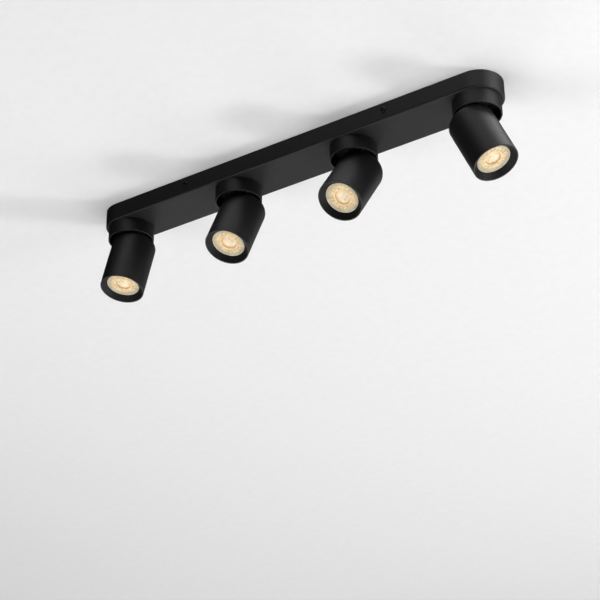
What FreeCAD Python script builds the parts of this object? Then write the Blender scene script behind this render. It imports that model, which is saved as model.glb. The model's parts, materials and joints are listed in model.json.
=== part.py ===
import FreeCAD, Part
import math
import os

# Four-spot ceiling light bar: a flat stadium-shaped canopy carries four swivelling GU10 spots.
# Millimetres.  X runs along the bar, +Z is up, and Z = 0 is the ceiling face at the bar's centre.

V = FreeCAD.Vector
ORIGIN = V(0, 0, 0)
X_AXIS = V(1, 0, 0)
Y_AXIS = V(0, 1, 0)
Z_AXIS = V(0, 0, 1)
BIG = 400.0

# Canopy
BAR_LENGTH = 615.0
BAR_WIDTH = 65.5
BAR_DEPTH = 25.5
SHEET = 1.5
CANOPY_EDGE_RADIUS = 2.5

# Spots as they stand at rest: direction each face swings towards (from +X towards +Y), and how far
SPOT_SPACING = 181.0
SPOT_PAN = (-110.0, -105.0, -103.0, 4.0)
SPOT_TILT = (13.0, 22.5, 32.0, 23.0)
TILT_LIMIT = 35.0

# Ceiling bracket and the side screws that hold the canopy to it
BRACKET_LENGTH = 340.0
BRACKET_WIDTH = 40.0
EAR_X = 155.5
EAR_WIDTH = 20.0
EAR_DEPTH = 17.0
EAR_CLEARANCE = 0.15
SIDE_SCREW_Z = -10.8
SIDE_SCREW_RADIUS = 2.0
SIDE_SCREW_HOLE_RADIUS = 2.2
SIDE_SCREW_HEAD_RADIUS = 3.6
SIDE_SCREW_HEAD_HEIGHT = 2.0
SIDE_SCREW_LENGTH = 7.0
SIDE_SCREW_EDGE_RADIUS = 1.2
CROSS_HALF_LENGTH = 1.9
CROSS_HALF_WIDTH = 0.45
CROSS_DEPTH = 1.1
CEILING_SLOT_X = 125.0
CEILING_SLOT_RADIUS = 2.6
CEILING_SLOT_LENGTH = 20.0

# Cable entry, terminal block and earth stud
CABLE_X = 45.0
CABLE_BORE_RADIUS = 4.5
BUSH_RADIUS = 7.0
BUSH_FLANGE_RADIUS = 9.0
BUSH_FLANGE_HEIGHT = 1.5
BLOCK_HALF_X = 9.0
BLOCK_HALF_Y = 15.0
BLOCK_BOTTOM = -16.2
BLOCK_EDGE_RADIUS = 1.0
PEG_RADIUS = 1.8
PEG_SINK = 0.2
POLE_PITCH = 9.0
POLE_Z = -12.0
BARREL_RADIUS = 3.2
BARREL_BORE_RADIUS = 2.2
BARREL_HALF_LENGTH = 8.0
CLAMP_SCREW_RADIUS = 1.5
CLAMP_SCREW_X = 5.0
CLAMP_SCREW_SINK = 0.2
CLAMP_SLOT_DEPTH = 0.7
CLAMP_SLOT_HALF_WIDTH = 0.3
EARTH_X = -45.0
STUD_RADIUS = 2.0
STUD_POINT = 2.0
NUT_FLATS = 7.0
NUT_HEIGHT = 3.0
LUG_THICKNESS = 1.0
LUG_RADIUS = 4.2
LUG_REACH = 9.0
CRIMP_RADIUS = 1.6
CRIMP_START = 7.5
CRIMP_LENGTH = 6.0

# Leads
LEAD_RADIUS = 0.9
LEAD_OFFSET = 1.4
LEAD_STACK = 0.95
LEAD_CUT = 0.3
LEAD_TURN_IN = 34.0
LEAD_TURN_DOWN = 17.0
LIVE_DROP_Z = -11.2
LIVE_BEND = 7.0
NEUTRAL_DROP_Z = -14.0
NEUTRAL_BEND = 4.2
EARTH_BEND = 5.0

# Pan bearing and collar
STEM_RADIUS = 5.0
STEM_BORE_RADIUS = 3.5
RUNNING_FIT = 0.05
FLANGE_RADIUS = 9.5
FLANGE_HEIGHT = 1.2
FLANGE_LIFT = 0.1
STOP_START = 10.8
STOP_RADIUS = 13.0
STOP_HEIGHT = 1.8
STOP_HALF_WIDTH = 1.0
TAB_HALF_WIDTH = 1.5
COLLAR_RADIUS = 31.25
COLLAR_WALL = 2.0
COLLAR_HEIGHT = 20.5
COLLAR_GAP = 0.3
EDGE_RADIUS = 0.6

# Tilting head.  Heights below are measured from the tilt axis along the head, + towards the dome.
PIVOT_DEPTH = 50.0
HEAD_RADIUS = 30.0
HEAD_WALL = 1.5
DOME_RADIUS = 39.5
SHOULDER_RADIUS = 8.0
RIM = -51.5
SLIDE_CLEARANCE = 0.3
SLOT_HALF_WIDTH = STEM_RADIUS + SLIDE_CLEARANCE
DOME_CUT_START = 20.0
RAIL_RADIUS = 36.5
RAIL_START_X = -8.0
RAIL_END_X = 28.0
RAIL_HALF_WIDTH = 8.0
STEM_END = 29.5
STEM_LEAD_END = 29.0
SLIDE_NUT_BOTTOM = 30.2
SLIDE_NUT_HALF_X = 8.0
SLIDE_NUT_HALF_Y = 7.5
SEAT_NUT_FLATS = 17.0

# Lamp, holder and front baffle
LAMP_FACE = -44.2
LAMP_RADIUS = 25.0
LENS_RADIUS = 22.5
LENS_THICKNESS = 2.0
LAMP_BASE_RADIUS = 11.5
LAMP_BASE = 5.4
LAMP_CAVITY = -34.0
COLLIMATOR_BACK = -34.5
PIN_HALF_SPACING = 5.0
PIN_NECK_RADIUS = 1.5
PIN_HEAD_RADIUS = 2.4
PIN_HEAD_BOTTOM = 9.9
PIN_TOP = 12.2
SOCKET_RADIUS = 2.6
SOCKET_CLEARANCE = 0.5
HOLDER_RADIUS = 12.5
HOLDER_GAP = 0.1
HOLDER_TOP = 19.0
HOLDER_LEAD_START = 15.0
HOLDER_LEAD_RISE = 22.3
HOLDER_LEAD_TURN = 25.0
HOLDER_LEAD_END = 28.4
HOLDER_LEAD_BEND = 3.0
STAKE_Y = 8.0
STAKE_RADIUS = 1.5
STAKE_HEAD_RADIUS = 2.4
STAKE_HEAD_HEIGHT = 1.0
STRAP_THICKNESS = 1.2
STRAP_HALF_WIDTH = 8.0
STRAP_HOLE_RADIUS = 4.0
STRAP_EAR_LENGTH = 12.0
STRAP_EAR_HALF_WIDTH = 6.0
BAFFLE_FRONT = -50.7
BAFFLE_BACK = -44.5
BAFFLE_OPENING_RADIUS = 21.9
BAFFLE_LIP = 0.4
BAFFLE_BAND = 0.9
BAFFLE_CONE_START = 2.4
BAFFLE_CONE_WALL = 1.5

FLOOR = -BAR_DEPTH
INNER_FLOOR = FLOOR + SHEET
COLLAR_TOP = FLOOR - COLLAR_GAP
COLLAR_BOTTOM = FLOOR - COLLAR_HEIGHT
PIVOT_Z = FLOOR - PIVOT_DEPTH
COLLAR_PLATE_UNDER = COLLAR_TOP - COLLAR_WALL


# ---------------------------------------------------------------- helpers

def box(x0, x1, y0, y1, z0, z1):
    return Part.makeBox(x1 - x0, y1 - y0, z1 - z0, V(x0, y0, z0))


def cylinder(radius, bottom, top, x=0.0, y=0.0):
    return Part.makeCylinder(radius, top - bottom, V(x, y, bottom))


def cylinder_along_x(radius, start, end, y=0.0, z=0.0):
    return Part.makeCylinder(radius, end - start, V(start, y, z), X_AXIS)


def cylinder_along_y(radius, start, end, x=0.0, z=0.0):
    return Part.makeCylinder(radius, end - start, V(x, start, z), Y_AXIS)


def tube(outer, inner, bottom, top, x=0.0, y=0.0):
    return cylinder(outer, bottom, top, x, y).cut(cylinder(inner, bottom - 1, top + 1, x, y))


def revolved(profile):
    """Solid of revolution about Z from (radius, height) corners."""
    corners = [V(radius, 0, height) for radius, height in profile]
    face = Part.Face(Part.makePolygon(corners + corners[:1]))
    return face.revolve(ORIGIN, Z_AXIS, 360)


def stadium(length, width, bottom, top):
    """Upright slab with semicircular ends."""
    end = (length - width) / 2
    body = box(-end, end, -width / 2, width / 2, bottom, top)
    for side in (-1, 1):
        body = body.fuse(cylinder(width / 2, bottom, top, side * end))
    return body.removeSplitter()


def slot_cutter(half_length, radius, bottom, top, x=0.0):
    end = half_length - radius
    body = box(x - end, x + end, -radius, radius, bottom, top)
    for side in (-1, 1):
        body = body.fuse(cylinder(radius, bottom, top, x + side * end))
    return body


def hexagon(flats, bottom, top, x=0.0, y=0.0):
    reach = flats / 2 / math.cos(math.radians(30))
    angles = [math.radians(60 * step) for step in range(6)]
    corners = [V(x + reach * math.cos(a), y + reach * math.sin(a), bottom) for a in angles]
    return Part.Face(Part.makePolygon(corners + corners[:1])).extrude(V(0, 0, top - bottom))


def edges_at_height(shape, height):
    """Edges lying wholly in one horizontal plane."""
    found = []
    for edge in shape.Edges:
        ends = edge.BoundBox
        if abs(ends.ZMin - height) < 0.01 and abs(ends.ZMax - height) < 0.01:
            found.append(edge)
    return found


def lead(corners, bend, radius=LEAD_RADIUS):
    """Round lead along straight runs joined by tangent arcs at each corner."""
    edges = []
    start = corners[0]
    for before, corner, after in zip(corners, corners[1:], corners[2:]):
        arriving = (corner - before).normalize()
        leaving = (after - corner).normalize()
        turn = arriving.getAngle(leaving)
        setback = bend * math.tan(turn / 2)
        first = corner - arriving * setback
        last = corner + leaving * setback
        inward = (leaving - arriving).normalize()
        middle = corner + inward * (bend / math.cos(turn / 2) - bend)
        edges.append(Part.LineSegment(start, first).toShape())
        edges.append(Part.Arc(first, middle, last).toShape())
        start = last
    edges.append(Part.LineSegment(start, corners[-1]).toShape())
    section = Part.Wire(Part.makeCircle(radius, corners[0], corners[1] - corners[0]))
    return Part.Wire(edges).makePipeShell([section], True, False)


def spot_x(spot):
    return (spot - 1.5) * SPOT_SPACING


def place_turret(shape, spot):
    """Turn a piece built about the pan axis to the spot's direction and move it under the bar."""
    placed = shape.copy()
    placed.rotate(ORIGIN, Z_AXIS, SPOT_PAN[spot])
    placed.translate(V(spot_x(spot), 0, 0))
    return placed


def place_head(shape, spot):
    """Tilt a piece built about the tilt axis, then place it like the rest of the turret."""
    placed = shape.copy()
    placed.rotate(ORIGIN, Y_AXIS, -SPOT_TILT[spot])
    placed.translate(V(0, 0, PIVOT_Z))
    return place_turret(placed, spot)


def save(name, solids):
    if not isinstance(solids, (list, tuple)):
        solids = [solids]
    pieces = []
    for solid in solids:
        pieces.extend(solid.Solids)
    shape = pieces[0] if len(pieces) == 1 else Part.makeCompound(pieces)
    shape.exportStep("parts/%s.step" % name)


# ---------------------------------------------------------------- canopy and its fittings

def canopy_cover():
    outer = stadium(BAR_LENGTH, BAR_WIDTH, FLOOR, 0)
    outer = outer.makeFillet(CANOPY_EDGE_RADIUS, edges_at_height(outer, FLOOR))
    inner = stadium(BAR_LENGTH - 2 * SHEET, BAR_WIDTH - 2 * SHEET, INNER_FLOOR, 1)
    inner = inner.makeFillet(CANOPY_EDGE_RADIUS - SHEET, edges_at_height(inner, INNER_FLOOR))
    cover = outer.cut(inner)
    for spot in range(4):
        x = spot_x(spot)
        cover = cover.cut(cylinder(STEM_RADIUS + RUNNING_FIT, FLOOR - 1, 0, x))
        left = x - STOP_HALF_WIDTH
        right = x + STOP_HALF_WIDTH
        top = INNER_FLOOR + STOP_HEIGHT
        cover = cover.fuse(box(left, right, STOP_START, STOP_RADIUS, INNER_FLOOR - SHEET / 2, top))
    for x in (-EAR_X, EAR_X):
        hole = cylinder_along_y(SIDE_SCREW_HOLE_RADIUS, -BAR_WIDTH, BAR_WIDTH, x, SIDE_SCREW_Z)
        cover = cover.cut(hole)
    return cover


def ceiling_bracket():
    """Sheet strap against the ceiling with folded ears that take the side screws."""
    reach = BAR_WIDTH / 2 - SHEET - EAR_CLEARANCE
    plate = box(-BRACKET_LENGTH / 2, BRACKET_LENGTH / 2, -BRACKET_WIDTH / 2, BRACKET_WIDTH / 2, -SHEET, 0)
    for x in (-EAR_X, EAR_X):
        left = x - EAR_WIDTH / 2
        right = x + EAR_WIDTH / 2
        fold = box(left, right, -reach, reach, -EAR_DEPTH, 0)
        fold = fold.cut(box(left, right, SHEET - reach, reach - SHEET, -EAR_DEPTH, -SHEET))
        plate = plate.fuse(fold)
        plate = plate.cut(cylinder_along_y(SIDE_SCREW_RADIUS, -BAR_WIDTH, BAR_WIDTH, x, SIDE_SCREW_Z))
    for x in (-CEILING_SLOT_X, CEILING_SLOT_X):
        plate = plate.cut(slot_cutter(CEILING_SLOT_LENGTH / 2, CEILING_SLOT_RADIUS, -BIG, BIG, x))
    plate = plate.cut(cylinder(BUSH_RADIUS, -SHEET - 1, 1, CABLE_X))
    plate = plate.cut(cylinder(STUD_RADIUS, -SHEET - 1, 1, EARTH_X))
    for y in (-POLE_PITCH / 2, POLE_PITCH / 2):
        plate = plate.cut(cylinder(PEG_RADIUS, -SHEET - 1, 1, 0, y))
    return plate.removeSplitter()


def side_screw(x, side):
    """Pan-head machine screw with a cross recess, pointing into the bar."""
    wall = BAR_WIDTH / 2
    head = cylinder(SIDE_SCREW_HEAD_RADIUS, 0, SIDE_SCREW_HEAD_HEIGHT)
    head = head.makeFillet(SIDE_SCREW_EDGE_RADIUS, edges_at_height(head, SIDE_SCREW_HEAD_HEIGHT))
    bottom = SIDE_SCREW_HEAD_HEIGHT - CROSS_DEPTH
    for turn in (0, 90):
        slot = box(-CROSS_HALF_LENGTH, CROSS_HALF_LENGTH, -CROSS_HALF_WIDTH, CROSS_HALF_WIDTH, bottom, BIG)
        slot.rotate(ORIGIN, Z_AXIS, turn)
        head = head.cut(slot)
    screw = head.fuse(cylinder(SIDE_SCREW_RADIUS, -SIDE_SCREW_LENGTH, 0))
    screw.rotate(ORIGIN, X_AXIS, -90 * side)
    screw.translate(V(x, side * wall, SIDE_SCREW_Z))
    return screw


def cover_screws():
    return [side_screw(x, side) for x in (-EAR_X, EAR_X) for side in (-1, 1)]


def cable_bush():
    bush = cylinder(BUSH_RADIUS, -SHEET, 0, CABLE_X)
    bush = bush.fuse(cylinder(BUSH_FLANGE_RADIUS, -SHEET - BUSH_FLANGE_HEIGHT, -SHEET, CABLE_X))
    return bush.cut(cylinder(CABLE_BORE_RADIUS, -BIG, 1, CABLE_X))


def pole_rows():
    return (-POLE_PITCH, 0.0, POLE_PITCH)


def terminal_block():
    """Three-pole block on two moulded pegs that press into the bracket."""
    block = box(-BLOCK_HALF_X, BLOCK_HALF_X, -BLOCK_HALF_Y, BLOCK_HALF_Y, BLOCK_BOTTOM, -SHEET)
    block = block.makeFillet(BLOCK_EDGE_RADIUS, edges_at_height(block, BLOCK_BOTTOM))
    for y in (-POLE_PITCH / 2, POLE_PITCH / 2):
        block = block.fuse(cylinder(PEG_RADIUS, -SHEET - 1, -PEG_SINK, 0, y))
    for y in pole_rows():
        block = block.cut(cylinder_along_x(BARREL_RADIUS, -BIG, BIG, y, POLE_Z))
        for x in (-CLAMP_SCREW_X, CLAMP_SCREW_X):
            block = block.cut(cylinder(CLAMP_SCREW_RADIUS, BLOCK_BOTTOM - 1, POLE_Z, x, y))
    return block


def terminal_barrels():
    barrels = []
    for y in pole_rows():
        barrel = cylinder_along_x(BARREL_RADIUS, -BARREL_HALF_LENGTH, BARREL_HALF_LENGTH, y, POLE_Z)
        barrel = barrel.cut(cylinder_along_x(BARREL_BORE_RADIUS, -BIG, BIG, y, POLE_Z))
        for x in (-CLAMP_SCREW_X, CLAMP_SCREW_X):
            barrel = barrel.cut(cylinder(CLAMP_SCREW_RADIUS, BLOCK_BOTTOM - 1, POLE_Z, x, y))
        barrels.append(barrel)
    return barrels


def terminal_screws():
    tip = POLE_Z - LEAD_STACK - LEAD_RADIUS
    head = BLOCK_BOTTOM + CLAMP_SCREW_SINK
    screws = []
    for y in pole_rows():
        for x in (-CLAMP_SCREW_X, CLAMP_SCREW_X):
            screw = cylinder(CLAMP_SCREW_RADIUS, head, tip, x, y)
            near = y - CLAMP_SLOT_HALF_WIDTH
            far = y + CLAMP_SLOT_HALF_WIDTH
            screws.append(screw.cut(box(x - 2, x + 2, near, far, head - 1, head + CLAMP_SLOT_DEPTH)))
    return screws


def earth_stud():
    """Threaded stud through the bracket with a nut above and below the earth lug."""
    lug_top = -SHEET - NUT_HEIGHT
    lug_bottom = lug_top - LUG_THICKNESS
    stud = cylinder(STUD_RADIUS, lug_bottom - NUT_HEIGHT - STUD_POINT, 0, EARTH_X)
    hole = cylinder(STUD_RADIUS, -BIG, 1, EARTH_X)
    upper = hexagon(NUT_FLATS, lug_top, -SHEET, EARTH_X).cut(hole)
    lower = hexagon(NUT_FLATS, lug_bottom - NUT_HEIGHT, lug_bottom, EARTH_X).cut(hole)
    return [stud, upper, lower]


def wiring_earth():
    """Earth lead from the middle pole to a crimped ring lug on the stud."""
    top = -SHEET - NUT_HEIGHT
    bottom = top - LUG_THICKNESS
    middle = (top + bottom) / 2
    ring = cylinder(LUG_RADIUS, bottom, top, EARTH_X)
    ring = ring.fuse(box(EARTH_X + 2, EARTH_X + LUG_REACH, -CRIMP_RADIUS, CRIMP_RADIUS, bottom, top))
    ring = ring.cut(cylinder(STUD_RADIUS, -BIG, 1, EARTH_X))
    crimp_start = EARTH_X + CRIMP_START
    crimp = cylinder_along_x(CRIMP_RADIUS, crimp_start, crimp_start + CRIMP_LENGTH, 0, middle)
    pole_z = POLE_Z - LEAD_STACK
    corners = [
        V(EARTH_X + LUG_REACH, 0, middle),
        V(EARTH_X + 18, 0, middle),
        V(EARTH_X + 27, 0, pole_z),
        V(-3, 0, pole_z),
    ]
    return ring.fuse(crimp).fuse(lead(corners, EARTH_BEND))


def across(spot):
    """Unit vector beside the pan direction, turned to point away from the terminal block."""
    angle = math.radians(SPOT_PAN[spot])
    side = V(-math.sin(angle), math.cos(angle), 0)
    outward = math.copysign(1, spot_x(spot))
    return side * math.copysign(1, side.x * outward)


def canopy_lead(spot, live):
    """Lead from the terminal block along the bar and down into one spot's hollow stem."""
    x = spot_x(spot)
    outward = math.copysign(1, x)
    far = abs(x) > SPOT_SPACING
    sign = 1 if live else -1
    end = V(x, 0, 0) + across(spot) * (sign * LEAD_OFFSET)
    run_y = sign * POLE_PITCH
    run_z = POLE_Z + (LEAD_STACK if far else -LEAD_STACK)
    drop_z = LIVE_DROP_Z if live else NEUTRAL_DROP_Z
    corners = [
        V(outward * 3, run_y, run_z),
        V(x - outward * LEAD_TURN_IN, run_y, run_z),
        V(x - outward * LEAD_TURN_DOWN, end.y, drop_z),
        V(end.x, end.y, drop_z),
        V(end.x, end.y, INNER_FLOOR),
    ]
    return lead(corners, LIVE_BEND if live else NEUTRAL_BEND)


def wiring(live):
    return [canopy_lead(spot, live) for spot in range(4)]


# ---------------------------------------------------------------- turret: everything that pans

def collar():
    cup = cylinder(COLLAR_RADIUS, COLLAR_BOTTOM, COLLAR_TOP)
    cup = cup.cut(cylinder(COLLAR_RADIUS - COLLAR_WALL, COLLAR_BOTTOM - 1, COLLAR_PLATE_UNDER))
    cup = cup.makeFillet(EDGE_RADIUS, edges_at_height(cup, COLLAR_BOTTOM))
    return cup.cut(cylinder(STEM_RADIUS, -BIG, 0))


def swivel_stem():
    """Hollow threaded stem with a flange inside the canopy and a tab that limits the pan."""
    flange_bottom = INNER_FLOOR + FLANGE_LIFT
    flange_top = flange_bottom + FLANGE_HEIGHT
    stem = cylinder(STEM_RADIUS, PIVOT_Z + STEM_END, flange_top)
    stem = stem.fuse(cylinder(FLANGE_RADIUS, flange_bottom, flange_top))
    tab = box(0, STOP_RADIUS, -TAB_HALF_WIDTH, TAB_HALF_WIDTH, flange_bottom, flange_top)
    return stem.fuse(tab).cut(cylinder(STEM_BORE_RADIUS, -BIG, 0)).removeSplitter()


def seat_nut():
    """Nut that clamps the collar; its hollowed lower face is the seat for the dome."""
    nut = hexagon(SEAT_NUT_FLATS, PIVOT_Z + RAIL_RADIUS, COLLAR_PLATE_UNDER)
    nut = nut.cut(Part.makeSphere(DOME_RADIUS + SLIDE_CLEARANCE, V(0, 0, PIVOT_Z)))
    return nut.cut(cylinder(STEM_RADIUS, -BIG, 0))


def slide_nut():
    """Block under the dome slot; its curved top slides along the rails about the tilt axis."""
    radius = RAIL_RADIUS - SLIDE_CLEARANCE
    block = box(-SLIDE_NUT_HALF_X, SLIDE_NUT_HALF_X, -SLIDE_NUT_HALF_Y, SLIDE_NUT_HALF_Y, SLIDE_NUT_BOTTOM, BIG)
    block = block.common(cylinder_along_y(radius, -HEAD_RADIUS, HEAD_RADIUS))
    block = block.cut(cylinder(STEM_RADIUS, 0, BIG))
    block.translate(V(0, 0, PIVOT_Z))
    return block


def stem_leads():
    bottom = PIVOT_Z + STEM_LEAD_END
    top = INNER_FLOOR - LEAD_CUT
    return [cylinder(LEAD_RADIUS, bottom, top, 0, y) for y in (-LEAD_OFFSET, LEAD_OFFSET)]


# ---------------------------------------------------------------- head: everything that tilts

def head_envelope(radius, dome, shoulder, bottom):
    """Cylinder closed by a dome centred on the tilt axis, with a rounded shoulder."""
    body = cylinder(radius, bottom, BIG).common(Part.makeSphere(dome))
    body = body.fuse(cylinder(radius, bottom, 0)).removeSplitter()
    edge_height = math.sqrt(dome ** 2 - radius ** 2)
    return body.makeFillet(shoulder, edges_at_height(body, edge_height))


def tilt_slot():
    """Cutter swept by the stem through the dome between no tilt and full tilt."""
    half = SLOT_HALF_WIDTH
    ends = cylinder(half, DOME_CUT_START, BIG)
    tilted = ends.copy()
    tilted.rotate(ORIGIN, Y_AXIS, TILT_LIMIT)
    reach = 60.0
    edge = math.radians(TILT_LIMIT)
    corners = [
        V(0, -half, 0),
        V(0, -half, reach),
        V(reach * math.sin(edge), -half, reach * math.cos(edge)),
    ]
    sector = Part.Face(Part.makePolygon(corners + corners[:1])).extrude(V(0, 2 * half, 0))
    return sector.fuse(ends).fuse(tilted)


def head_shell():
    outer = head_envelope(HEAD_RADIUS, DOME_RADIUS, SHOULDER_RADIUS, RIM)
    outer = outer.makeFillet(EDGE_RADIUS, edges_at_height(outer, RIM))
    inside = head_envelope(
        HEAD_RADIUS - HEAD_WALL, DOME_RADIUS - HEAD_WALL, SHOULDER_RADIUS - HEAD_WALL, RIM - 1
    )
    rails = box(RAIL_START_X, RAIL_END_X, -RAIL_HALF_WIDTH, RAIL_HALF_WIDTH, DOME_CUT_START, BIG)
    rails = rails.cut(cylinder_along_y(RAIL_RADIUS, -HEAD_RADIUS, HEAD_RADIUS)).common(inside)
    return outer.cut(inside.cut(rails)).cut(tilt_slot())


def front_baffle():
    """Dark cone inside the rim that frames the lamp."""
    wall = HEAD_RADIUS - HEAD_WALL
    return revolved([
        (wall - BAFFLE_LIP, BAFFLE_FRONT),
        (wall, BAFFLE_FRONT),
        (wall, BAFFLE_BACK),
        (wall - BAFFLE_BAND, BAFFLE_BACK),
        (wall - BAFFLE_BAND, BAFFLE_FRONT + BAFFLE_CONE_START),
        (BAFFLE_OPENING_RADIUS + BAFFLE_CONE_WALL, BAFFLE_BACK),
        (BAFFLE_OPENING_RADIUS, BAFFLE_BACK),
    ])


def holder_bracket():
    """Strap across the head, welded to the wall by two ears, that carries the lamp holder."""
    wall = HEAD_RADIUS - HEAD_WALL
    top = HOLDER_TOP + STRAP_THICKNESS
    strap = box(-STRAP_HALF_WIDTH, STRAP_HALF_WIDTH, -wall, wall, HOLDER_TOP, top)
    strap = strap.common(cylinder(wall, 0, BIG))
    ears = tube(wall, wall - STRAP_THICKNESS, top - STRAP_EAR_LENGTH, top)
    ears = ears.common(box(-STRAP_EAR_HALF_WIDTH, STRAP_EAR_HALF_WIDTH, -wall, wall, 0, top))
    strap = strap.fuse(ears).cut(cylinder(STRAP_HOLE_RADIUS, 0, BIG))
    for y in (-STAKE_Y, STAKE_Y):
        strap = strap.cut(cylinder(STAKE_RADIUS, 0, BIG, 0, y))
    return strap.removeSplitter()


def lamp_holder():
    """GU10 holder staked to the strap, with two pin sockets and two lead holes."""
    holder = cylinder(HOLDER_RADIUS, LAMP_BASE + HOLDER_GAP, HOLDER_TOP)
    strap_top = HOLDER_TOP + STRAP_THICKNESS
    for y in (-STAKE_Y, STAKE_Y):
        holder = holder.fuse(cylinder(STAKE_RADIUS, HOLDER_TOP - 1, strap_top, 0, y))
        holder = holder.fuse(cylinder(STAKE_HEAD_RADIUS, strap_top, strap_top + STAKE_HEAD_HEIGHT, 0, y))
    for side in (-1, 1):
        socket_top = PIN_TOP + SOCKET_CLEARANCE
        holder = holder.cut(cylinder(SOCKET_RADIUS, 0, socket_top, 0, side * PIN_HALF_SPACING))
        holder = holder.cut(cylinder(LEAD_RADIUS, HOLDER_LEAD_START, BIG, 0, side * LEAD_OFFSET))
    return holder


def lamp_body():
    """GU10 reflector lamp: finned cone, base and two bayonet pins; open behind the lens."""
    lens_back = LAMP_FACE + LENS_THICKNESS
    body = revolved([
        (0, LAMP_BASE),
        (LAMP_BASE_RADIUS, LAMP_BASE),
        (LAMP_BASE_RADIUS, -6),
        (14, -9),
        (23.5, -36),
        (LAMP_RADIUS, -38.5),
        (LAMP_RADIUS, LAMP_FACE),
        (LENS_RADIUS, LAMP_FACE),
        (LENS_RADIUS, lens_back),
        (21.5, lens_back),
        (19.5, LAMP_CAVITY),
        (0, LAMP_CAVITY),
    ])
    for side in (-1, 1):
        y = side * PIN_HALF_SPACING
        body = body.fuse(cylinder(PIN_NECK_RADIUS, LAMP_BASE - 1, PIN_HEAD_BOTTOM, 0, y))
        body = body.fuse(cylinder(PIN_HEAD_RADIUS, PIN_HEAD_BOTTOM, PIN_TOP, 0, y))
    return body


def lamp_lens():
    """Clear front disc with a collimator cone behind its centre."""
    back = LAMP_FACE + LENS_THICKNESS
    return revolved([
        (0, LAMP_FACE),
        (LENS_RADIUS, LAMP_FACE),
        (LENS_RADIUS, back),
        (18, back),
        (9, COLLIMATOR_BACK),
        (0, COLLIMATOR_BACK),
    ])


def holder_leads(spot):
    """Two leads from the holder, bent to meet the lower end of the tilted-away stem."""
    angle = math.radians(SPOT_TILT[spot])
    towards_stem = V(math.sin(angle), 0, math.cos(angle))
    leads = []
    for y in (-LEAD_OFFSET, LEAD_OFFSET):
        beside = V(0, y, 0)
        corners = [
            V(0, y, HOLDER_LEAD_START),
            V(0, y, HOLDER_LEAD_RISE),
            towards_stem * HOLDER_LEAD_TURN + beside,
            towards_stem * HOLDER_LEAD_END + beside,
        ]
        leads.append(lead(corners, HOLDER_LEAD_BEND))
    return leads


# ---------------------------------------------------------------- write one file per node

os.makedirs("parts", exist_ok=True)

save("canopy_cover", canopy_cover())
save("ceiling_bracket", ceiling_bracket())
save("cover_screws", cover_screws())
save("cable_bush", cable_bush())
save("terminal_block", terminal_block())
save("terminal_barrels", terminal_barrels())
save("terminal_screws", terminal_screws())
save("earth_stud", earth_stud())
save("wiring_earth", wiring_earth())
save("wiring_live", wiring(True))
save("wiring_neutral", wiring(False))

TURRET_PIECES = {
    "collar": collar(),
    "swivel_stem": swivel_stem(),
    "seat_nut": seat_nut(),
    "slide_nut": slide_nut(),
}
HEAD_PIECES = {
    "head_shell": head_shell(),
    "front_baffle": front_baffle(),
    "holder_bracket": holder_bracket(),
    "lamp_holder": lamp_holder(),
    "lamp_body": lamp_body(),
    "lamp_lens": lamp_lens(),
}

for spot in range(4):
    number = spot + 1
    for name, piece in TURRET_PIECES.items():
        save("%s_%d" % (name, number), place_turret(piece, spot))
    save("stem_leads_%d" % number, [place_turret(piece, spot) for piece in stem_leads()])
    for name, piece in HEAD_PIECES.items():
        save("%s_%d" % (name, number), place_head(piece, spot))
    save("holder_leads_%d" % number, [place_head(piece, spot) for piece in holder_leads(spot)])
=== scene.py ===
import json
import math

import bmesh
import bpy
from mathutils import Matrix, Vector


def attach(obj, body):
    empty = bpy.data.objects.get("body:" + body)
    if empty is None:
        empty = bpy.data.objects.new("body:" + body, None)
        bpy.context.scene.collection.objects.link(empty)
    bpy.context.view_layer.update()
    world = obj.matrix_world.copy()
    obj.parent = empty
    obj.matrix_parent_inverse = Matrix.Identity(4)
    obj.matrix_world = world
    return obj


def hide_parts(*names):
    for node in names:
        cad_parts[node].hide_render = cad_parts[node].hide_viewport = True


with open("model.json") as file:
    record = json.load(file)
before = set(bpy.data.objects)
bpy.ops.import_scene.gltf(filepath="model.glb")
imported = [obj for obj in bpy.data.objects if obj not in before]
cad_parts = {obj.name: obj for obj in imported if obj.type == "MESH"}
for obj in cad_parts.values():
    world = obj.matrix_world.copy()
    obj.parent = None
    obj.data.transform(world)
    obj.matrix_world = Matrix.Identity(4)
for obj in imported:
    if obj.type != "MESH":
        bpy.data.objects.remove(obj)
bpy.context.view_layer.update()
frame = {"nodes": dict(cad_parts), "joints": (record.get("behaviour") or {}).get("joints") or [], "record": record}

# Four-spot ceiling bar, in metres, in the CAD frame: X along the bar, Z up, ceiling at Z = 0.
# Angles are in degrees, and lights' powers in watts.

SPOTS = 4

# Powder coat: a painted highlight along its edges, in place of the light the rounded edges catch; how far in from
# an edge it reaches, and how strong it is
EDGE_REACH = 0.0011
EDGE_HIGHLIGHT = 1.8

# Lamp optic. Its face is this far along the head from the tilt axis.
LAMP_FACE = 0.0442
LENS_GLOW = 0.82
LENS_FLUTES = 18
STEPS_PER_FLUTE = 8
FLUTE_SHADE = 0.08
ZONE_WAVER = 0.045
LAMP_TURN = 67.0

# Front of the moulded lens: radius, depth behind the lamp's face, depth of the flutes
LENS_FRONT = (
    # sunk centre, with its wall
    (0.00005, 0.0025, 0.0),
    (0.0045, 0.0026, 0.0),
    (0.0088, 0.0030, 0.0),
    (0.0093, 0.0032, 0.0),
    (0.0097, 0.0028, 0.0),
    (0.0105, 0.0009, 0.0),
    # fluted ring
    (0.0108, 0.0006, 0.0),
    (0.0114, 0.0005, 0.0002),
    (0.0140, 0.0006, 0.0003),
    (0.0166, 0.0009, 0.0002),
    # shallow dish
    (0.0174, 0.0013, 0.0),
    (0.0180, 0.0014, 0.0),
    (0.0198, 0.0010, 0.0),
    (0.0210, 0.0008, 0.0),
    # rim
    (0.0213, 0.0001, 0.0),
    (0.0219, 0.00005, 0.0),
    (0.02245, 0.0004, 0.0),
)
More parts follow.
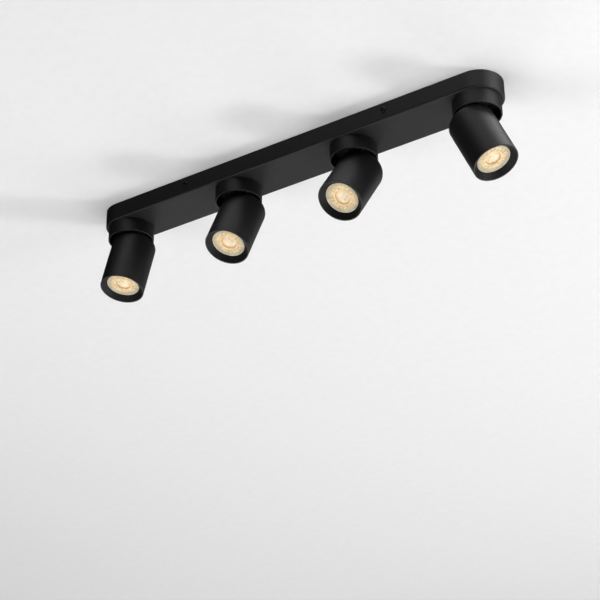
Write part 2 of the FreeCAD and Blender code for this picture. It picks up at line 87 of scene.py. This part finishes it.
# Back of the lens, with the collimator behind its centre
LENS_BACK = (
    (0.02245, 0.0020, 0.0),
    (0.0180, 0.0020, 0.0),
    (0.0090, 0.0093, 0.0),
    (0.00005, 0.0093, 0.0),
)

# Colour of the light from the lens, by radius as a share of the lens's own
LENS_ZONES = (
    # sunk centre
    (0.00, (0.97, 0.83, 0.62)),
    (0.26, (0.96, 0.80, 0.57)),
    (0.29, (0.84, 0.63, 0.40)),
    (0.32, (0.95, 0.78, 0.54)),
    (0.39, (0.90, 0.70, 0.44)),
    # dark wall round it
    (0.43, (0.56, 0.35, 0.16)),
    (0.465, (0.64, 0.42, 0.21)),
    # fluted ring
    (0.485, (0.96, 0.76, 0.47)),
    (0.57, (0.87, 0.64, 0.36)),
    (0.60, (0.64, 0.45, 0.23)),
    (0.635, (0.89, 0.67, 0.39)),
    (0.74, (0.76, 0.57, 0.34)),
    # dish
    (0.82, (0.60, 0.50, 0.33)),
    (0.91, (0.48, 0.44, 0.31)),
    # rim
    (0.955, (0.52, 0.48, 0.36)),
    (0.975, (0.74, 0.66, 0.54)),
    (1.00, (0.58, 0.53, 0.43)),
)
# How far the flutes show at each radius
FLUTED_ZONE = (
    (0.47, (0.0, 0.0, 0.0)),
    (0.52, (1.0, 1.0, 1.0)),
    (0.74, (1.0, 1.0, 1.0)),
    (0.82, (0.0, 0.0, 0.0)),
)

# Camera
CAMERA_TARGET = Vector((0.00573, -0.00060, -0.22585))
CAMERA_AZIMUTH = 32.84
CAMERA_ELEVATION = -29.17
CAMERA_ROLL = -0.63
CAMERA_DISTANCE = 2.3683
CAMERA_LENS = 112.3
CAMERA_SENSOR = 36.0
CAMERA_REACH = 50.0

# Backdrop
CEILING_HALF_SIZE = 40.0
FLOOR_HALF_SIZE = 40.0
FLOOR_HEIGHT = -3.6
NEAR_CEILING_GLOW = 0.10
FAR_CEILING_GLOW = 0.80
GLOW_START = 1.8
GLOW_END = 4.0
FLOOR_GLOW = 1.0
ROOM_GLOW = 0.80

# The bar's middle, which the lights aim at
LIGHT_AIM = Vector((0.0, 0.0, -0.06))


# ---------------------------------------------------------------- node helpers

class Shader:
    """A material's node tree with short ways to add and join nodes."""

    def __init__(self, name):
        self.material = bpy.data.materials.new(name)
        self.material.use_nodes = True
        self.tree = self.material.node_tree
        self.tree.nodes.clear()
        self.output = self.node("ShaderNodeOutputMaterial")
        self.surface = self.node("ShaderNodeBsdfPrincipled")
        self.join(self.surface.outputs["BSDF"], self.output.inputs["Surface"])
        self.place = self.node("ShaderNodeTexCoord").outputs["Object"]

    def node(self, kind, **settings):
        made = self.tree.nodes.new(kind)
        for name, value in settings.items():
            setattr(made, name, value)
        return made

    def join(self, source, target):
        self.tree.links.new(source, target)

    def fixed(self, **values):
        """Set constants on the shader's own sockets."""
        for name, value in values.items():
            self.surface.inputs[name.replace("_", " ")].default_value = value

    def noise(self, scale, detail=3.0, stretch=None):
        """Noise in object space; scale is features per metre."""
        place = self.place
        if stretch is not None:
            mapping = self.node("ShaderNodeMapping")
            mapping.inputs["Scale"].default_value = stretch
            self.join(place, mapping.inputs["Vector"])
            place = mapping.outputs["Vector"]
        made = self.node("ShaderNodeTexNoise")
        made.inputs["Scale"].default_value = scale
        made.inputs["Detail"].default_value = detail
        self.join(place, made.inputs["Vector"])
        return made.outputs["Fac"]

    def edges(self, reach):
        """0 on faces, rising towards outer edges, found inside the piece within a reach in metres."""
        made = self.node("ShaderNodeAmbientOcclusion", inside=True, only_local=True, samples=8)
        made.inputs["Distance"].default_value = reach
        return self.maths("SUBTRACT", 1.0, made.outputs["AO"])

    def ramp(self, source, stops):
        """Colour ramp from (position, colour) stops."""
        made = self.node("ShaderNodeValToRGB")
        elements = made.color_ramp.elements
        while len(elements) < len(stops):
            elements.new(0.5)
        for element, (position, colour) in zip(elements, stops):
            element.position = position
            element.color = (*colour, 1.0)
        self.join(source, made.inputs["Fac"])
        return made.outputs["Color"]

    def mottle(self, source, dark, light):
        """Two tones of one colour, spread over the surface by a noise."""
        return self.ramp(source, [(0.3, dark), (0.7, light)])

    def spread(self, source, low, high):
        """Map 0..1 to low..high."""
        made = self.node("ShaderNodeMapRange")
        made.inputs["To Min"].default_value = low
        made.inputs["To Max"].default_value = high
        self.join(source, made.inputs["Value"])
        return made.outputs["Result"]

    def maths(self, operation, *values):
        made = self.node("ShaderNodeMath", operation=operation)
        for socket, value in zip(made.inputs, values):
            if isinstance(value, (int, float)):
                socket.default_value = value
            else:
                self.join(value, socket)
        return made.outputs["Value"]

    def blend(self, share, first, second):
        """Colour between first and second, by a 0..1 share of the second."""
        made = self.node("ShaderNodeMixRGB")
        self.join(share, made.inputs["Fac"])
        self.join(first, made.inputs["Color1"])
        self.join(second, made.inputs["Color2"])
        return made.outputs["Color"]

    def colour(self, source):
        self.join(source, self.surface.inputs["Base Color"])

    def roughness(self, source, low, high):
        self.join(self.spread(source, low, high), self.surface.inputs["Roughness"])

    def bump(self, source, distance, strength):
        """Bump with a height in metres."""
        made = self.node("ShaderNodeBump")
        made.inputs["Distance"].default_value = distance
        made.inputs["Strength"].default_value = strength
        self.join(source, made.inputs["Height"])
        self.join(made.outputs["Normal"], self.surface.inputs["Normal"])


# ---------------------------------------------------------------- materials

def powder_coat():
    """Fine-textured matte black powder coat, with a painted highlight along its edges for the light they catch."""
    shader = Shader("black_powder_coat")
    shader.fixed(Specular_IOR_Level=0.42)
    blotches = shader.noise(55.0, detail=4.0)
    coat = shader.mottle(blotches, (0.0075, 0.0075, 0.0080), (0.0105, 0.0105, 0.0112))
    # Painted highlight: a lighter, mottled tone laid along the outer edges, standing in for light caught on the
    # rounded edges.
    highlight_mottle = shader.noise(900.0, detail=3.0)
    edge_highlight_tone = shader.mottle(highlight_mottle, (0.040, 0.040, 0.041), (0.075, 0.075, 0.077))
    edge_highlight = shader.maths("MULTIPLY", shader.edges(EDGE_REACH), EDGE_HIGHLIGHT)
    shader.colour(shader.blend(edge_highlight, coat, edge_highlight_tone))
    shader.roughness(shader.noise(320.0, detail=6.0), 0.47, 0.57)
    grain = shader.maths("ADD", shader.noise(1500.0, detail=2.0), shader.noise(4200.0, detail=1.0))
    shader.bump(grain, 0.00003, 0.35)
    return shader.material


def baffle_black():
    """Duller black of the anti-glare cone, with a fine grain."""
    shader = Shader("black_baffle")
    shader.fixed(Specular_IOR_Level=0.25)
    shader.colour(shader.mottle(shader.noise(120.0), (0.006, 0.006, 0.006), (0.010, 0.010, 0.0105)))
    shader.roughness(shader.noise(900.0), 0.50, 0.62)
    shader.bump(shader.noise(2600.0, detail=2.0), 0.00003, 0.4)
    return shader.material


def black_steel():
    """Blackened steel of the screws."""
    shader = Shader("black_steel")
    shader.fixed(Metallic=0.6)
    shader.colour(shader.mottle(shader.noise(400.0), (0.010, 0.010, 0.011), (0.022, 0.021, 0.021)))
    shader.roughness(shader.noise(1200.0), 0.32, 0.50)
    shader.bump(shader.noise(3000.0), 0.00002, 0.4)
    return shader.material


def metal(name, dark, light, rough_low, rough_high, stretch):
    """Plated or turned metal with drawn streaks and a slightly uneven tone."""
    shader = Shader(name)
    shader.fixed(Metallic=1.0)
    shader.colour(shader.mottle(shader.noise(260.0, detail=5.0), dark, light))
    streaks = shader.noise(60.0, detail=4.0, stretch=stretch)
    shader.roughness(streaks, rough_low, rough_high)
    shader.bump(streaks, 0.00002, 0.3)
    return shader.material


def moulded(name, dark, light, rough_low, rough_high):
    """Moulded plastic, rubber or glazed ceramic."""
    shader = Shader(name)
    shader.colour(shader.mottle(shader.noise(140.0, detail=4.0), dark, light))
    shader.roughness(shader.noise(500.0), rough_low, rough_high)
    shader.bump(shader.noise(1400.0, detail=2.0), 0.00002, 0.3)
    return shader.material


def lamp_optic():
    """Lit moulded lens: zones by radius and fluting by angle, from the mesh's UVs."""
    shader = Shader("lamp_lens")
    shader.fixed(Roughness=0.34, IOR=1.45, Specular_IOR_Level=0.4)
    parts = shader.node("ShaderNodeSeparateXYZ")
    shader.join(shader.node("ShaderNodeUVMap", uv_map="optic").outputs["UV"], parts.inputs["Vector"])
    around, outwards = parts.outputs["X"], parts.outputs["Y"]
    waver = shader.spread(shader.noise(260.0, detail=3.0), -ZONE_WAVER, ZONE_WAVER)
    zones = shader.ramp(shader.maths("ADD", outwards, waver), LENS_ZONES)
    wave = shader.maths("SINE", shader.maths("MULTIPLY", around, 2 * math.pi * LENS_FLUTES))
    fluted = shader.ramp(outwards, FLUTED_ZONE)
    shade = shader.maths("MULTIPLY", shader.maths("MULTIPLY", wave, fluted), FLUTE_SHADE)
    fine_patches = shader.spread(shader.noise(330.0, detail=4.0), 0.35, 1.60)
    broad_patches = shader.spread(shader.noise(95.0, detail=1.0), 0.62, 1.34)
    patches = shader.maths("MULTIPLY", fine_patches, broad_patches)
    glow = shader.maths("MULTIPLY", shader.maths("ADD", shade, 1.0), patches)
    shader.colour(shader.ramp(outwards, [(0.4, (0.22, 0.17, 0.10)), (0.9, (0.12, 0.11, 0.08))]))
    shader.join(zones, shader.surface.inputs["Emission Color"])
    shader.join(shader.maths("MULTIPLY", glow, LENS_GLOW), shader.surface.inputs["Emission Strength"])
    shader.bump(shader.noise(900.0, detail=3.0), 0.00006, 0.4)
    return shader.material


def ceiling_paint():
    """Pale painted plaster seen from the room; clear from above so the bar shows from there.

    Far from the bar, where the lights fade, the plaster glows to stay pale.
    """
    shader = Shader("ceiling_paint")
    shader.fixed(Specular_IOR_Level=0.1)
    tone = shader.mottle(shader.noise(70.0, detail=6.0), (0.815, 0.815, 0.815), (0.835, 0.835, 0.835))
    shader.colour(tone)
    shader.join(tone, shader.surface.inputs["Emission Color"])
    distance = shader.node("ShaderNodeVectorMath", operation="LENGTH")
    shader.join(shader.place, distance.inputs[0])
    glow = shader.node("ShaderNodeMapRange", interpolation_type="SMOOTHSTEP")
    glow.inputs["From Min"].default_value = GLOW_START
    glow.inputs["From Max"].default_value = GLOW_END
    glow.inputs["To Min"].default_value = NEAR_CEILING_GLOW
    glow.inputs["To Max"].default_value = FAR_CEILING_GLOW
    shader.join(distance.outputs["Value"], glow.inputs["Value"])
    shader.join(glow.outputs["Result"], shader.surface.inputs["Emission Strength"])
    shader.roughness(shader.noise(40.0), 0.85, 0.95)
    shader.bump(shader.noise(180.0, detail=4.0), 0.0002, 0.15)
    clear = shader.node("ShaderNodeBsdfTransparent")
    side = shader.node("ShaderNodeNewGeometry").outputs["Backfacing"]
    mix = shader.node("ShaderNodeMixShader")
    shader.join(side, mix.inputs["Fac"])
    shader.join(shader.surface.outputs["BSDF"], mix.inputs[1])
    shader.join(clear.outputs["BSDF"], mix.inputs[2])
    shader.join(mix.outputs["Shader"], shader.output.inputs["Surface"])
    return shader.material


def pale_floor():
    """Pale matt floor far under the bar."""
    shader = Shader("pale_floor")
    shader.fixed(Specular_IOR_Level=0.1, Emission_Strength=FLOOR_GLOW)
    tone = shader.mottle(shader.noise(3.0, detail=6.0), (0.72, 0.72, 0.71), (0.78, 0.78, 0.77))
    shader.colour(tone)
    shader.join(tone, shader.surface.inputs["Emission Color"])
    shader.roughness(shader.noise(30.0), 0.70, 0.85)
    shader.bump(shader.noise(90.0, detail=4.0), 0.0003, 0.2)
    return shader.material


# Dark tone, light tone, least and greatest roughness
MOULDED_FINISHES = {
    "black_rubber": ((0.012, 0.012, 0.012), (0.02, 0.02, 0.02), 0.6, 0.75),
    "white_nylon": ((0.72, 0.72, 0.68), (0.80, 0.80, 0.77), 0.36, 0.46),
    "cream_ceramic": ((0.72, 0.66, 0.54), (0.80, 0.75, 0.64), 0.14, 0.24),
    "white_lamp_plastic": ((0.74, 0.74, 0.72), (0.82, 0.82, 0.80), 0.36, 0.48),
    "brown_insulation": ((0.10, 0.040, 0.018), (0.15, 0.060, 0.028), 0.34, 0.44),
    "blue_insulation": ((0.02, 0.09, 0.36), (0.03, 0.13, 0.46), 0.34, 0.44),
    "green_insulation": ((0.08, 0.28, 0.04), (0.14, 0.36, 0.07), 0.34, 0.44),
    "white_insulation": ((0.66, 0.66, 0.63), (0.74, 0.74, 0.71), 0.42, 0.54),
}
# The same, and how the streaks are drawn out: the smallest number is the long way
METAL_FINISHES = {
    "zinc_plate": ((0.50, 0.51, 0.54), (0.60, 0.61, 0.64), 0.28, 0.40, (1, 12, 12)),
    "brass": ((0.62, 0.42, 0.15), (0.78, 0.56, 0.24), 0.22, 0.36, (12, 12, 1)),
}


def make_materials():
    """Every material of the object, by the name of its slot in the record."""
    materials = {
        "black_powder_coat": powder_coat(),
        "black_baffle": baffle_black(),
        "black_steel": black_steel(),
        "lamp_lens": lamp_optic(),
    }
    for name, finish in METAL_FINISHES.items():
        materials[name] = metal(name, *finish)
    for name, finish in MOULDED_FINISHES.items():
        materials[name] = moulded(name, *finish)
    return materials


def dress_cad_nodes(materials):
    """Give each CAD node the material its record slot names."""
    for subpart in frame["record"]["subparts"]:
        node = frame["nodes"][subpart["node"]]
        node.data.materials.clear()
        node.data.materials.append(materials[subpart["material_slot"]])


# ---------------------------------------------------------------- lamp optics

def head_matrix(pan_joint, tilt_joint):
    """Frame of a head at rest: origin on the tilt axis, +Z along the head towards its dome."""
    axis = Vector(tilt_joint["axis"])
    pan = math.atan2(axis.x, -axis.y)
    tilt = -math.radians(tilt_joint["range_deg"][0])
    spin = Matrix.Rotation(pan, 4, "Z") @ Matrix.Rotation(-tilt, 4, "Y")
    return Matrix.Translation(Vector(tilt_joint["pos_m"])) @ spin


def turned(name, profile, steps, flutes, matrix):
    """Mesh turned about the head's axis from (radius, height, flute depth) points.

    Its UV map "optic" holds the turn from 0 to 1, and the radius as a share of the largest.
    """
    mesh = bpy.data.meshes.new(name)
    build = bmesh.new()
    layer = build.loops.layers.uv.new("optic")
    rings = []
    for radius, height, flute in profile:
        ring = []
        for step in range(steps):
            angle = 2 * math.pi * step / steps
            sunk = flute * abs(math.sin(flutes * angle / 2))
            place = (radius * math.cos(angle), radius * math.sin(angle), height + sunk)
            ring.append(build.verts.new(place))
        rings.append(ring)
    outer = max(radius for radius, height, flute in profile)
    for index in range(len(rings) - 1):
        for step in range(steps):
            following = (step + 1) % steps
            corners = ((index, step), (index + 1, step), (index + 1, following), (index, following))
            face = build.faces.new([rings[row][column] for row, column in corners])
            face.smooth = True
            for loop, (row, column) in zip(face.loops, corners):
                turn = step + 1 if column == following else step
                loop[layer].uv = (turn / steps, profile[row][0] / outer)
    build.normal_update()
    build.to_mesh(mesh)
    build.free()
    piece = bpy.data.objects.new(name, mesh)
    piece.matrix_world = matrix
    bpy.context.scene.collection.objects.link(piece)
    return piece


def make_optics(material):
    """One optic per head; each lamp sits in its holder at its own angle."""
    profile = [(radius, depth - LAMP_FACE, flute) for radius, depth, flute in LENS_FRONT + LENS_BACK]
    joints = {joint["name"]: joint for joint in frame["joints"]}
    for number in range(1, SPOTS + 1):
        matrix = head_matrix(joints["pan_%d" % number], joints["tilt_%d" % number])
        matrix = matrix @ Matrix.Rotation(math.radians(LAMP_TURN * number), 4, "Z")
        name = "lamp_optic_%d" % number
        optic = turned(name, profile, STEPS_PER_FLUTE * LENS_FLUTES, LENS_FLUTES, matrix)
        optic.data.materials.append(material)
        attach(optic, "head_%d" % number)
        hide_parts("lamp_lens_%d" % number)


# ---------------------------------------------------------------- stage, lights, camera

def backdrop(name, height, half, material, faces_down):
    """Flat stage sheet. It takes the object's shadow but sends no light back to it."""
    corners = [
        (-half, -half, height),
        (-half, half, height),
        (half, half, height),
        (half, -half, height),
    ]
    order = (0, 1, 2, 3) if faces_down else (3, 2, 1, 0)
    mesh = bpy.data.meshes.new(name)
    mesh.from_pydata(corners, [], [order])
    mesh.materials.append(material)
    sheet = bpy.data.objects.new(name, mesh)
    sheet.visible_diffuse = False
    sheet.visible_glossy = False
    sheet.visible_shadow = False
    bpy.context.scene.collection.objects.link(sheet)


def make_backdrop():
    backdrop("ceiling", 0.0, CEILING_HALF_SIZE, ceiling_paint(), faces_down=True)
    backdrop("floor", FLOOR_HEIGHT, FLOOR_HALF_SIZE, pale_floor(), faces_down=False)


def direction(azimuth, elevation):
    """Unit vector, with azimuth from the near side (-Y) towards +X."""
    turn = math.radians(azimuth)
    rise = math.radians(elevation)
    return Vector((
        math.sin(turn) * math.cos(rise),
        -math.cos(turn) * math.cos(rise),
        math.sin(rise),
    ))


def around_bar(azimuth, elevation, distance):
    """Place at a distance from the bar's middle."""
    return LIGHT_AIM + distance * direction(azimuth, elevation)


def area_light(name, place, size, power):
    """Round soft light at a place, aimed at the bar's middle."""
    data = bpy.data.lights.new(name, "AREA")
    data.shape = "DISK"
    data.size = size
    data.energy = power
    light = bpy.data.objects.new(name, data)
    light.location = place
    light.rotation_euler = (LIGHT_AIM - Vector(place)).to_track_quat("-Z", "Y").to_euler()
    bpy.context.scene.collection.objects.link(light)


def make_lights():
    """Soft studio light, most of it from below; the ceiling backdrop blocks none of it."""
    area_light("below", (0.0, 0.0, -2.6), 2.0, 30.0)
    area_light("shadow_maker", (1.80, 1.58, -2.06), 0.7, 29.0)
    area_light("back_left", (-1.6, 1.6, -1.6), 1.6, 7.0)
    area_light("back", (0.1, 2.4, -1.8), 1.8, 14.0)
    area_light("back_left_level", around_bar(-135, 8, 2.4), 1.2, 6.0)
    area_light("back_right_level", around_bar(168, 8, 2.4), 1.2, 4.0)
    area_light("front_left_low", around_bar(-44, -47, 2.2), 1.2, 11.0)
    area_light("right_low", around_bar(95, -20, 2.2), 1.0, 11.2)
    area_light("right_level", around_bar(100, -8, 2.0), 0.5, 3.9)
    area_light("front", around_bar(10, 30, 2.2), 1.8, 4.9)
    area_light("front_high", around_bar(5, 55, 2.2), 1.8, 5.5)
    area_light("top", around_bar(0, 80, 2.2), 2.0, 8.0)
    area_light("right_high", around_bar(85, 60, 2.2), 1.0, 8.0)
    area_light("right_back", around_bar(110, 45, 2.2), 1.0, 6.3)
    area_light("back_high", around_bar(135, 62, 2.2), 1.0, 11.0)
    area_light("end", (0.70, -0.05, 0.05), 0.3, 1.0)


def make_room():
    """Pale surroundings that the camera sees and that put no light on the object."""
    world = bpy.data.worlds.new("studio")
    world.use_nodes = True
    background = world.node_tree.nodes["Background"]
    background.inputs["Color"].default_value = (1.0, 1.0, 1.0, 1.0)
    background.inputs["Strength"].default_value = ROOM_GLOW
    bpy.context.scene.world = world
    world.cycles_visibility.diffuse = False
    world.cycles_visibility.glossy = False


def make_camera():
    """Camera below the bar, looking up past it, rolled a little about its line of sight."""
    away = direction(CAMERA_AZIMUTH, CAMERA_ELEVATION)
    azimuth = math.radians(CAMERA_AZIMUTH)
    right = Vector((math.cos(azimuth), math.sin(azimuth), 0.0))
    up = away.cross(right)
    roll = Matrix.Rotation(math.radians(CAMERA_ROLL), 3, away)
    axes = Matrix((roll @ right, roll @ up, away)).transposed()
    data = bpy.data.cameras.new("camera")
    data.sensor_width = CAMERA_SENSOR
    data.lens = CAMERA_LENS
    data.clip_end = CAMERA_REACH
    camera = bpy.data.objects.new("camera", data)
    camera.matrix_world = Matrix.Translation(CAMERA_TARGET + away * CAMERA_DISTANCE) @ axes.to_4x4()
    bpy.context.scene.collection.objects.link(camera)
    bpy.context.scene.camera = camera
    bpy.context.scene.view_settings.view_transform = "Standard"


make_camera()
make_backdrop()
make_lights()
make_room()
finishes = make_materials()
dress_cad_nodes(finishes)
make_optics(finishes["lamp_lens"])
